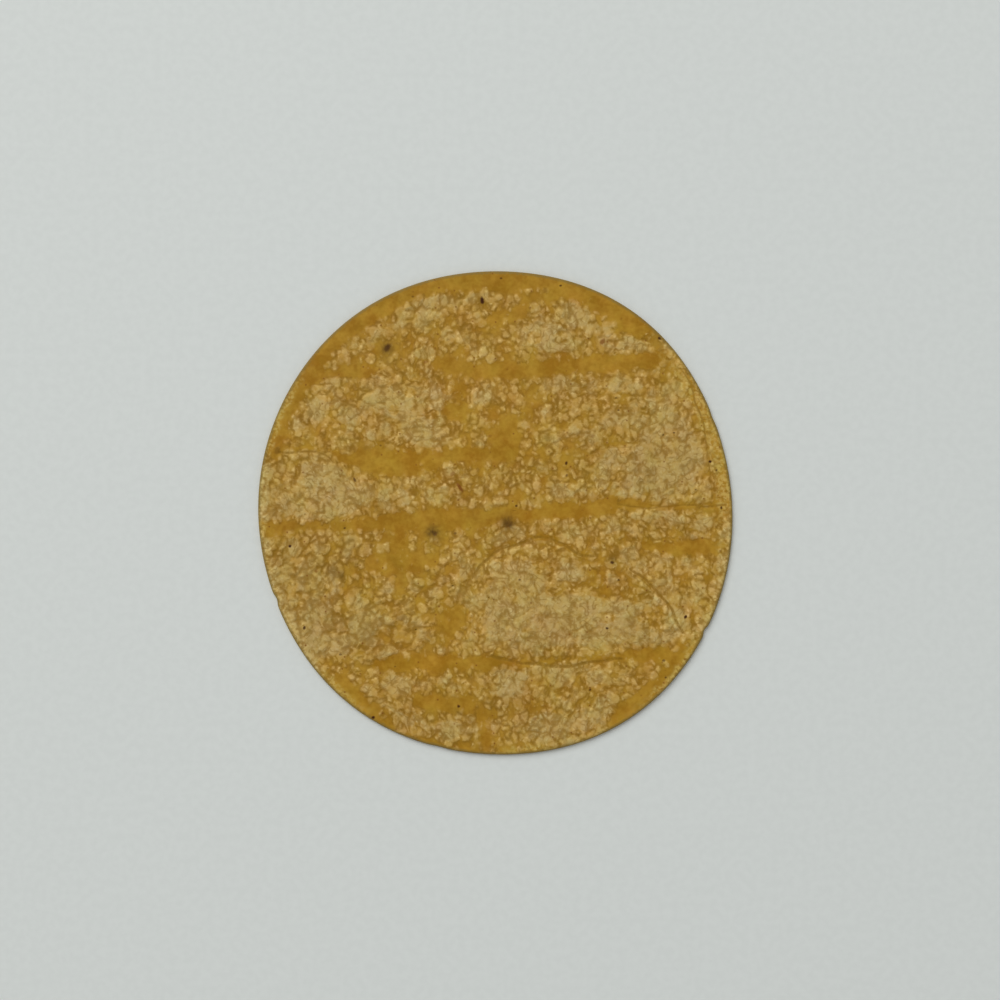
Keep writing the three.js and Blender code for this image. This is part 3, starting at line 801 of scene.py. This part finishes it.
def tortilla_surface(settings):
    """The tortilla's points, triangles and point values.

    The face lies at the sheet's thickness, plus the lift near the edge, the pocket's dome of 1 − reach⁴,
    and the relief, less the creases. The edge is half an ellipse carried round the outline. The underside
    lies on the table, with shallow hollows between blisters laid out as the face's are, turned about.
    """
    mean_radius = settings.mean_radius / MM
    thickness = settings.thickness / MM
    rounding = settings.edge_rounding / MM
    blister_height = settings.blister_height / MM
    peak_lift = settings.edge_lift / MM

    def placed(share, angle, inset):
        radius = share * (outline_radius(angle, mean_radius) - inset)
        return radius * np.cos(angle), radius * np.sin(angle)

    def lift(share, angle):
        return smoothstep(FLAT_SHARE, 1.0, share) * edge_lift(angle, peak_lift)

    def settled(masks):
        return smoothstep(rounding, rounding + SETTLE_WIDTH, masks["outline"])

    share, angle = ring_lattice(settings.rings)
    x, y = placed(share, angle, rounding)
    drawn_x, drawn_y = drawn_to_seams(x, y, mean_radius, FACE_SEED)
    x = np.where(share < SNAP_SHARE, drawn_x, x)
    y = np.where(share < SNAP_SHARE, drawn_y, y)
    face = face_masks(x, y, mean_radius, FACE_SEED)
    reach = ellipse_reach(x, y, *POCKET)
    bulge = settings.pocket_rise / MM * np.maximum(1.0 - reach**4, 0.0)
    relief = settled(face) * (blister_height * face["relief"] - face["crease"])
    top = np.stack([x, y, thickness + lift(share, angle) + bulge + relief], axis=1)

    border = ring_start(settings.rings) + np.arange(SIDES * settings.rings)
    rim_angle = angle[border]
    turns = np.radians(np.linspace(90.0, -90.0, settings.edge_rings + 1)[1:-1])[:, None]
    rim_x, rim_y = placed(1.0, rim_angle, rounding * (1.0 - np.cos(turns)))
    rim_z = edge_lift(rim_angle, peak_lift) + thickness * (0.5 + 0.5 * np.sin(turns))
    rim = np.stack([rim_x, rim_y, rim_z], axis=-1).reshape(-1, 3)
    rim_face = face_masks(rim[:, 0], rim[:, 1], mean_radius, FACE_SEED)

    under_rings = settings.rings // 2
    under_share, under_angle = ring_lattice(under_rings)
    under_x, under_y = placed(under_share, under_angle, rounding)
    under_face = face_masks(-under_x, under_y, mean_radius, UNDERSIDE_SEED)
    hollow = HOLLOW_SHARE * blister_height * (1.0 - under_face["relief"]) * settled(under_face)
    under = np.stack([under_x, under_y, lift(under_share, under_angle) + hollow], axis=1)

    first_under = len(top) + len(rim)
    under_border = first_under + ring_start(under_rings) + np.arange(SIDES * under_rings)
    strips = [border, *(len(top) + np.arange(len(rim)).reshape(len(turns), -1))]
    faces = [lattice_triangles(settings.rings)]
    faces += [strip_triangles(upper, lower) for upper, lower in zip(strips, strips[1:])]
    faces.append(halving_triangles(strips[-1], under_border))
    faces.append(first_under + lattice_triangles(under_rings)[:, ::-1])
    masks = {name: np.concatenate([face[name], rim_face[name], under_face[name]]) for name in face}
    return np.concatenate([top, rim, under]) * MM, np.concatenate(faces), masks


class Nodes:
    """Adds nodes to one tree. An input takes a plain value or another node's output."""

    MIX_SHARE, MIX_FIRST, MIX_SECOND, MIX_RESULT = 0, 6, 7, 2

    def __init__(self, tree):
        self.tree = tree
        tree.nodes.clear()

    def add(self, kind, inputs=(), **settings):
        """One node with its settings, and its inputs given by name or number."""
        node = self.tree.nodes.new(kind)
        for name, value in settings.items():
            setattr(node, name, value)
        for name, value in dict(inputs).items():
            self.feed(node.inputs[name], value)
        return node

    def feed(self, socket, value):
        """Links an output into the socket, or sets the socket's own value, a colour with full alpha."""
        if isinstance(value, bpy.types.NodeSocket):
            self.tree.links.new(value, socket)
        elif socket.type == "RGBA":
            socket.default_value = (*value, 1.0)
        else:
            socket.default_value = value

    def attribute(self, name, output="Fac"):
        """A point mask of the mesh."""
        return self.add("ShaderNodeAttribute", attribute_name=name).outputs[output]

    def math(self, operation, first, second=0.0):
        """One step of arithmetic."""
        return self.add("ShaderNodeMath", {0: first, 1: second}, operation=operation).outputs[0]

    def plus(self, *terms):
        """Sum of the terms."""
        return reduce(partial(self.math, "ADD"), terms)

    def times(self, *factors):
        """Product of the factors."""
        return reduce(partial(self.math, "MULTIPLY"), factors)

    def strongest(self, *values):
        """Largest of the values."""
        return reduce(partial(self.math, "MAXIMUM"), values)

    def vector(self, operation, *inputs):
        """One step of arithmetic on vectors or colours."""
        return self.add("ShaderNodeVectorMath", dict(enumerate(inputs)), operation=operation).outputs[0]

    def parts(self, vector):
        """The three parts of a vector or colour."""
        return self.add("ShaderNodeSeparateXYZ", {0: vector}).outputs

    def ramp(self, value, low, high, start=0.0, end=1.0):
        """Smooth step from start at low to end at high."""
        inputs = {"Value": value, "From Min": low, "From Max": high, "To Min": start, "To Max": end}
        return self.add("ShaderNodeMapRange", inputs, interpolation_type="SMOOTHSTEP").outputs["Result"]

    def span(self, share, start, end):
        """Straight line from start where the share is 0 to end where it is 1."""
        inputs = {"Value": share, "To Min": start, "To Max": end}
        return self.add("ShaderNodeMapRange", inputs).outputs["Result"]

    def mix(self, share, first, second):
        """First colour turning into the second by the share."""
        inputs = {self.MIX_SHARE: share, self.MIX_FIRST: first, self.MIX_SECOND: second}
        return self.add("ShaderNodeMix", inputs, data_type="RGBA").outputs[self.MIX_RESULT]

    def noise(self, place, per_metre, detail=0.0, roughness=0.5):
        """Noise with a given count of waves to the metre."""
        inputs = {"Vector": place, "Scale": per_metre, "Detail": detail, "Roughness": roughness}
        return self.add("ShaderNodeTexNoise", inputs).outputs

    def cells(self, place, per_metre):
        """Cells of a jittered flat lattice: distance from the nearest one's middle, and its own chance."""
        inputs = {"Vector": place, "Scale": per_metre}
        outputs = self.add("ShaderNodeTexVoronoi", inputs, voronoi_dimensions="2D").outputs
        return outputs["Distance"], self.parts(outputs["Color"])[0]

    def surface(self, inputs):
        """The shader and the material's output."""
        shader = self.add("ShaderNodeBsdfPrincipled", inputs)
        self.add("ShaderNodeOutputMaterial", {"Surface": shader.outputs["BSDF"]})

    def grain(self, group, per_metre):
        """Fine grain from its node group."""
        return self.add("ShaderNodeGroup", {"Grains per metre": per_metre}, node_tree=group).outputs[0]


def new_material(name):
    """A material, and the nodes of its empty tree."""
    material = bpy.data.materials.new(name)
    material.use_nodes = True
    return material, Nodes(material.node_tree)


def grain_group():
    """Node group for fine grain: noise of a given grain size, spread out between 0 and 1."""
    group = bpy.data.node_groups.new("Fine grain", "ShaderNodeTree")
    size = group.interface.new_socket(name="Grains per metre", in_out="INPUT", socket_type="NodeSocketFloat")
    size.default_value = 1000.0
    group.interface.new_socket(name="Grain", in_out="OUTPUT", socket_type="NodeSocketFloat")
    nodes = Nodes(group)
    given = nodes.add("NodeGroupInput")
    place = nodes.add("ShaderNodeTexCoord").outputs["Object"]
    noise = nodes.noise(place, given.outputs[0], detail=1.0)["Fac"]
    spread = nodes.ramp(noise, 0.25, 0.75)
    nodes.add("NodeGroupOutput", {"Grain": spread})
    return group


def shared_grain():
    """The fine grain node group, made once."""
    return bpy.data.node_groups.get("Fine grain") or grain_group()


class DoughTexture:
    """Noises and point values that several layers of the dough's colour read."""

    def __init__(self, nodes, grain):
        self.place = nodes.add("ShaderNodeTexCoord").outputs["Object"]
        self.fine = nodes.grain(grain, 2400.0)
        self.crumbly = nodes.grain(grain, 1000.0)
        self.mottle = nodes.grain(grain, 330.0)
        self.broad = nodes.grain(grain, 70.0)
        self.cover = nodes.attribute("cover")
        self.crowded = nodes.ramp(self.cover, 0.54, 0.74)
        self.calm = nodes.ramp(self.cover, 0.46, 0.68)
        self.golden = nodes.attribute("gold")
        self.crease = nodes.attribute("crease")
        self.ragged = nodes.span(self.fine, -0.04, 0.04)
        self.uneven = nodes.plus(self.ragged, nodes.span(self.crumbly, -0.18, 0.18))
        self.body = nodes.plus(nodes.attribute("body"), self.uneven)


def crumpled_skin(nodes, dough):
    """Strengths of the winding wrinkles, the bright flecks and the small pits.

    Wrinkles follow the middle level of a bent noise and break off here and there. Flecks and pits are round
    spots in the cells of a bent lattice, drawn by each cell's own chance. The bright flecks are partly paler
    skin and partly painted highlights on the blisters.
    """
    bend = nodes.noise(dough.place, 1300.0)["Color"]
    bent_place = nodes.vector("MULTIPLY_ADD", bend, (0.0005, 0.0005, 0.0), dough.place)
    winding = nodes.noise(bent_place, 450.0)["Fac"]
    off_level = nodes.math("ABSOLUTE", nodes.math("SUBTRACT", winding, 0.5))
    unbroken = nodes.ramp(dough.mottle, 0.1, 0.7, 0.25, 1.0)
    wrinkle = nodes.times(nodes.ramp(off_level, 0.0, 0.09, 1.0, 0.0), unbroken)
    away, chance = nodes.cells(bent_place, 700.0)
    spot = nodes.ramp(away, 0.0, 0.55, 1.0, 0.0)
    # Bright flecks: partly paler skin and partly painted highlights on the blisters
    fleck_and_highlight = nodes.times(spot, nodes.ramp(chance, 0.40, 1.0))
    pit = nodes.times(spot, nodes.ramp(chance, 0.05, 0.25, 1.0, 0.0))
    return wrinkle, fleck_and_highlight, pit


def paleness(nodes, dough, fleck_and_highlight):
    """How pale the dough is.

    A thin veil that thickens with the cover, plus the blisters, each of its own tone, palest in the middle
    and strewn with flecks, plus grains, folds and the flecks of the golden edge. The blisters' paler middles
    and their flecks are partly pale skin and partly painted light on their domes, and the folds' paleness is
    a painted highlight.
    """
    tone = nodes.span(nodes.math("POWER", nodes.attribute("tone"), 2.0), 0.18, 0.54)
    # Partly painted light: the blisters grow paler towards their middles and carry bright flecks, both as
    # pale skin and as painted highlights on their domes
    skin = nodes.plus(
        nodes.times(tone, nodes.span(dough.crowded, 1.0, 0.5)),
        nodes.span(dough.crowded, 0.0, 0.18),
        nodes.span(dough.crumbly, -0.12, 0.12),
        nodes.times(fleck_and_highlight, nodes.span(dough.crowded, 0.60, 0.34)),
        nodes.ramp(dough.body, 0.50, 1.00, 0.09, 0.0),
    )
    skin = nodes.times(skin, nodes.ramp(dough.body, -0.26, 0.86), nodes.span(dough.crowded, 1.0, 0.63))
    thin_veil = nodes.ramp(dough.cover, 0.2, 0.5, 0.0, 0.035)
    thick_veil = nodes.ramp(dough.cover, 0.5, 0.76, 0.0, 0.22)
    grains = nodes.ramp(nodes.plus(nodes.attribute("grain"), dough.ragged), -0.06, 0.28, 0.0, 0.22)
    pale = nodes.times(nodes.plus(skin, thin_veil, thick_veil, grains), nodes.span(dough.fine, 0.96, 1.04))
    # Painted highlight: the raised low folds beside the creases are paled as if lit
    painted_fold_highlight = nodes.ramp(dough.crease, -0.12, -0.02, 0.34, 0.0)
    return nodes.plus(pale, painted_fold_highlight, nodes.times(dough.golden, fleck_and_highlight, 0.32))


def cracks_and_painted_shade(nodes, dough, wrinkle, pit):
    """How dark the cracks are, with the painted shade: the strongest of seams, single blisters' outlines,
    wrinkles, pits and creases.

    Seams, wrinkles and pits are partly browner dough and partly painted shade in these cracks. The outline
    round a single blister is painted shade at its foot, and the darkening of the pressed creases is painted
    shade in them. Seams and outlines swell and fade from place to place, and are fainter where the blisters
    crowd.
    """
    seam = nodes.plus(
        nodes.attribute("seam"), nodes.times(dough.uneven, 0.7), nodes.span(dough.mottle, 0.30, -0.26))
    crack_and_shade = nodes.times(nodes.ramp(seam, -0.15, 0.80, 0.78, 0.0), nodes.span(dough.calm, 1.0, 0.78))
    # Painted shade: a dark ring just outside each blister that stands alone, where its foot meets the dough
    painted_foot_shade = nodes.times(
        nodes.ramp(dough.body, -0.80, -0.15),
        nodes.ramp(dough.body, -0.08, 0.40, 0.57, 0.0),
        nodes.ramp(dough.cover, 0.2, 0.45),
        nodes.ramp(dough.mottle, 0.1, 0.8, 0.35, 1.0),
        nodes.span(dough.calm, 1.0, 0.70),
    )
    # Painted shade in the pressed creases, darkest along their middle
    pressed = nodes.times(
        nodes.ramp(dough.crease, 0.02, 0.13, 0.0, 0.82), nodes.ramp(dough.uneven, -0.20, 0.05, 0.55, 1.0))
    return nodes.strongest(
        crack_and_shade,
        painted_foot_shade,
        nodes.times(wrinkle, nodes.ramp(dough.cover, 0.45, 0.74, 0.10, 0.58)),
        nodes.times(wrinkle, dough.golden, 0.55),
        nodes.times(pit, nodes.ramp(dough.cover, 0.4, 0.8, 0.0, 0.28)),
        pressed,
    )


def toasted(nodes, dough, colour):
    """The colour times a tint that drifts with a noise, and times the level of toasting."""
    drift = nodes.noise(dough.place, 160.0, detail=2.0, roughness=0.6)["Color"]
    tint = nodes.vector("MULTIPLY_ADD", drift, TINT_RISE, TINT)
    level = nodes.plus(nodes.attribute("toasting"), 1.0)
    tinted = nodes.vector("MULTIPLY", colour, tint)
    return nodes.add("ShaderNodeVectorMath", {0: tinted, "Scale": level}, operation="SCALE").outputs[0]


def painted_rim_shade(nodes, dough):
    """Strength of the painted shade round the very edge: a thin dark line standing for the rounded rim
    turning away from the light and for the shadow where it meets the table. It fades low down on the
    rounding.
    """
    line = nodes.ramp(nodes.plus(nodes.attribute("outline"), dough.uneven), 0.30, 1.25, 0.84, 0.0)
    above_table = nodes.parts(dough.place)[2]
    return nodes.times(line, nodes.ramp(above_table, 0.0004, 0.0011, 0.35, 1.0))


def speckled(nodes, dough, settings, colour):
    """The colour with fine russet dots, then with the bran specks, russet or charred by their darkness."""
    away, chance = nodes.cells(dough.place, 170.0)
    dotted = nodes.times(nodes.ramp(chance, 0.3, 1.0, 0.0, 0.8), nodes.ramp(away, 0.02, 0.07, 1.0, 0.0))
    along, across, darkness = nodes.parts(nodes.attribute("speck", "Vector"))
    reach = nodes.math("SQRT", nodes.plus(nodes.math("POWER", along, 2.0), nodes.math("POWER", across, 2.0)))
    spotted = nodes.ramp(nodes.plus(reach, nodes.times(dough.ragged, 3.0)), 0.5, 1.45, 1.0, 0.0)
    russet = nodes.times(spotted, nodes.ramp(darkness, -1.0, 0.0, 1.0, 0.0))
    burnt = nodes.times(spotted, nodes.math("MAXIMUM", darkness, 0.0))
    colour = nodes.mix(dotted, colour, settings.russet)
    colour = nodes.mix(russet, colour, settings.russet)
    return nodes.mix(burnt, colour, settings.char)


def dough_material(settings, grain):
    """Toasted dough: amber where smooth, pale on the blisters, with browned, scorched and charred spots."""
    material, nodes = new_material("Toasted corn dough")
    dough = DoughTexture(nodes, grain)
    wrinkle, fleck_and_highlight, pit = crumpled_skin(nodes, dough)
    pale = paleness(nodes, dough, fleck_and_highlight)
    crack_and_shade = cracks_and_painted_shade(nodes, dough, wrinkle, pit)
    browned = nodes.plus(
        nodes.ramp(dough.mottle, 0.0, 1.0, 0.0, 0.52),
        nodes.ramp(dough.broad, 0.2, 1.0, 0.0, 0.40),
        nodes.ramp(dough.crumbly, 0.0, 1.0, 0.0, 0.28),
    )
    gilded = nodes.times(dough.golden, nodes.ramp(dough.uneven, -0.15, 0.15, 0.05, 0.90))
    skin = nodes.mix(dough.crowded, settings.pale, settings.crowded)
    smudge = nodes.times(nodes.attribute("smudge"), nodes.ramp(dough.crumbly, 0.1, 0.9, 0.8, 1.1))

    colour = nodes.mix(browned, settings.amber, settings.deep_amber)
    colour = nodes.mix(gilded, colour, settings.gold)
    colour = nodes.mix(pale, colour, skin)
    # Browner dough and painted shade in the cracks, and painted shade round single blisters and in the
    # creases
    colour = nodes.mix(crack_and_shade, colour, settings.seam)
    colour = toasted(nodes, dough, colour)
    # Painted shade round the very edge
    colour = nodes.mix(painted_rim_shade(nodes, dough), colour, settings.edge)
    colour = nodes.mix(smudge, colour, settings.scorch)
    colour = speckled(nodes, dough, settings, colour)

    swelling = nodes.plus(nodes.times(dough.fine, 0.1), nodes.ramp(dough.body, -0.4, 0.9, 0.0, 1.2))
    bump = nodes.add("ShaderNodeBump", {
        "Height": nodes.math("SUBTRACT", swelling, crack_and_shade), "Distance": 0.00013, "Strength": 0.25})
    nodes.surface({
        "Base Color": colour,
        "Roughness": nodes.ramp(pale, 0.0, 0.5, 0.46, 0.68),
        "Normal": bump.outputs["Normal"],
        "Specular IOR Level": 0.15,
    })
    return material


def floor_material(settings, grain):
    """Matt pale table with a faint grain."""
    material, nodes = new_material("Pale table")
    darker = [0.97 * channel for channel in settings.floor_colour]
    colour = nodes.mix(nodes.grain(grain, 420.0), settings.floor_colour, darker)
    nodes.surface({"Base Color": colour, "Roughness": 0.75})
    return material


def new_object(name, data):
    """An object at the origin, in the scene."""
    made = bpy.data.objects.new(name, data)
    bpy.context.scene.collection.objects.link(made)
    return made


class MakeTortilla(bpy.types.Operator):
    """Makes the toasted tortilla that stands for the solid one."""

    bl_idname = "tortilla.make_tortilla"
    bl_label = "Make tortilla"

    def execute(self, context):
        settings = context.scene.tortilla
        points, faces, masks = tortilla_surface(settings)
        mesh = bpy.data.meshes.new("toasted_tortilla")
        mesh.from_pydata(points, [], faces)
        mesh.shade_smooth()
        for name, values in masks.items():
            kind, field = ("FLOAT", "value") if values.ndim == 1 else ("FLOAT_VECTOR", "vector")
            layer = mesh.attributes.new(name, kind, "POINT")
            layer.data.foreach_set(field, values.astype(np.float32).ravel())
        mesh.materials.append(dough_material(settings, shared_grain()))
        tortilla = new_object("toasted_tortilla", mesh)
        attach(tortilla, "root")
        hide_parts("tortilla")
        return {"FINISHED"}


class MakeStage(bpy.types.Operator):
    """Makes the pale table, the soft light and the overhead camera."""

    bl_idname = "tortilla.make_stage"
    bl_label = "Make table, light and camera"

    def execute(self, context):
        scene = context.scene
        settings = scene.tortilla_stage
        half = settings.floor_size / 2.0
        mesh = bpy.data.meshes.new("table")
        plan = ((-half, -half), (half, -half), (half, half), (-half, half))
        corners = [(x, y, -TABLE_GAP) for x, y in plan]
        mesh.from_pydata(corners, [], [(0, 1, 2, 3)])
        mesh.materials.append(floor_material(settings, shared_grain()))
        new_object("table", mesh)

        light = bpy.data.lights.new("window", "AREA")
        light.size = settings.window_size
        light.energy = settings.window_power
        window = new_object("window", light)
        window.location = settings.window_place
        window.rotation_mode = "QUATERNION"
        window.rotation_quaternion = (-Vector(window.location)).to_track_quat("-Z", "Y")

        world = bpy.data.worlds.new("room")
        world.use_nodes = True
        background = world.node_tree.nodes["Background"]
        background.inputs["Color"].default_value = (1.0, 1.0, 1.0, 1.0)
        background.inputs["Strength"].default_value = settings.sky
        scene.world = world
        scene.view_settings.view_transform = "Standard"

        camera = new_object("camera", bpy.data.cameras.new("camera"))
        camera.data.lens = settings.lens
        distance = settings.view_width * settings.lens / camera.data.sensor_width
        camera.location = Vector(settings.view_middle) + Vector((0.0, 0.0, distance))
        scene.camera = camera
        return {"FINISHED"}


class TortillaPanel(bpy.types.Panel):
    """Lists the operators and their settings in the sidebar."""

    bl_idname = "VIEW3D_PT_tortilla"
    bl_label = "Corn tortilla"
    bl_space_type = "VIEW_3D"
    bl_region_type = "UI"
    bl_category = "Tortilla"

    def draw(self, context):
        layout = self.layout
        for operator, group in ((MakeTortilla, "tortilla"), (MakeStage, "tortilla_stage")):
            layout.operator(operator.bl_idname)
            settings = getattr(context.scene, group)
            for name in settings.__annotations__:
                layout.prop(settings, name)


CLASSES = (TortillaSettings, StageSettings, MakeTortilla, MakeStage, TortillaPanel)


def register():
    for made in CLASSES:
        bpy.utils.register_class(made)
    bpy.types.Scene.tortilla = PointerProperty(type=TortillaSettings)
    bpy.types.Scene.tortilla_stage = PointerProperty(type=StageSettings)


def unregister():
    del bpy.types.Scene.tortilla_stage
    del bpy.types.Scene.tortilla
    for made in reversed(CLASSES):
        bpy.utils.unregister_class(made)


def main():
    register()
    bpy.ops.tortilla.make_tortilla()
    bpy.ops.tortilla.make_stage()


if __name__ == "__main__":
    main()
